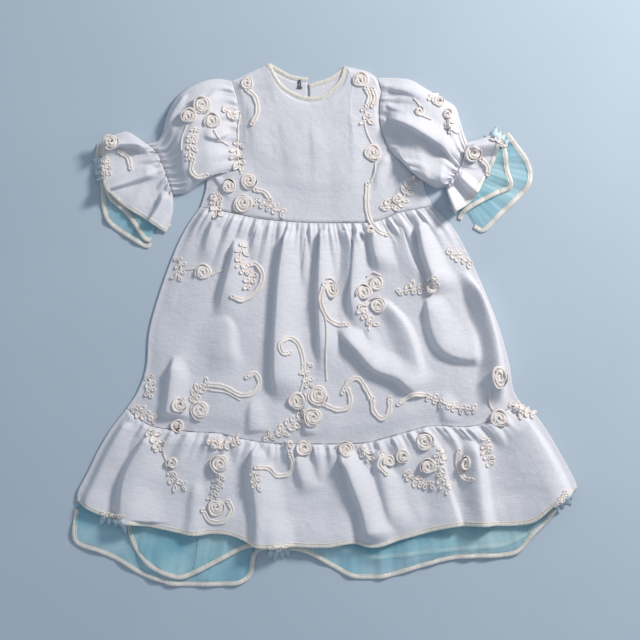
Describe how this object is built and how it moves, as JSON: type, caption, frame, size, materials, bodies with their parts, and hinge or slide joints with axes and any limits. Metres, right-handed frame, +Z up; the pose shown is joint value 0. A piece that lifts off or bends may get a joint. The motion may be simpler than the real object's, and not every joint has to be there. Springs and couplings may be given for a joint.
{
  "type": "christening gown",
  "caption": "Child's christening gown laid flat: puff sleeves, gathered skirt and hem flounce, ribbon rose applique, sheer satin-bound underflounces.",
  "frame": {"origin": "middle of the gown's outline, on the surface it lies on", "axes": "+Y towards the neck, +X towards the sleeve on the right of the view, +Z up out of the gown's front"},
  "size_m": [0.6822, 0.7056, 0.0318],
  "materials": {
    "linen": "matte slubbed plain weave",
    "organza": "sheer, slightly shiny",
    "satin": "satin",
    "ribbon": "soft matte ribbon",
    "steel": "dark enamelled"
  },
  "bodies": {
    "root": {"bodice_front": "linen", "bodice_back_left": "linen", "bodice_back_right": "linen", "skirt_front": "linen", "skirt_back": "linen", "flounce_front": "linen", "flounce_back": "linen", "sleeve_left_upper": "linen", "sleeve_left_under": "linen", "sleeve_right_upper": "linen", "sleeve_right_under": "linen", "cuff_left_upper": "linen", "cuff_left_under": "linen", "cuff_right_upper": "linen", "cuff_right_under": "linen", "organza_front": "organza", "organza_back": "organza", "cuff_left_organza_upper": "organza", "cuff_left_organza_under": "organza", "cuff_right_organza_upper": "organza", "cuff_right_organza_under": "organza", "neck_binding_front": "satin", "neck_binding_back_left": "satin", "neck_binding_back_right": "satin", "hem_binding_front": "satin", "hem_binding_back": "satin", "organza_binding_front": "satin", "organza_binding_back": "satin", "cuff_left_binding_upper": "satin", "cuff_left_binding_under": "satin", "cuff_left_organza_binding_upper": "satin", "cuff_left_organza_binding_under": "satin", "cuff_right_binding_upper": "satin", "cuff_right_binding_under": "satin", "cuff_right_organza_binding_upper": "satin", "cuff_right_organza_binding_under": "satin", "hem_tuft_left": "ribbon", "hem_tuft_centre": "ribbon", "hem_tuft_right": "ribbon", "cuff_left_tuft": "ribbon", "cuff_right_tuft": "ribbon", "neck_hook": "steel"}
  },
  "joints": []
}
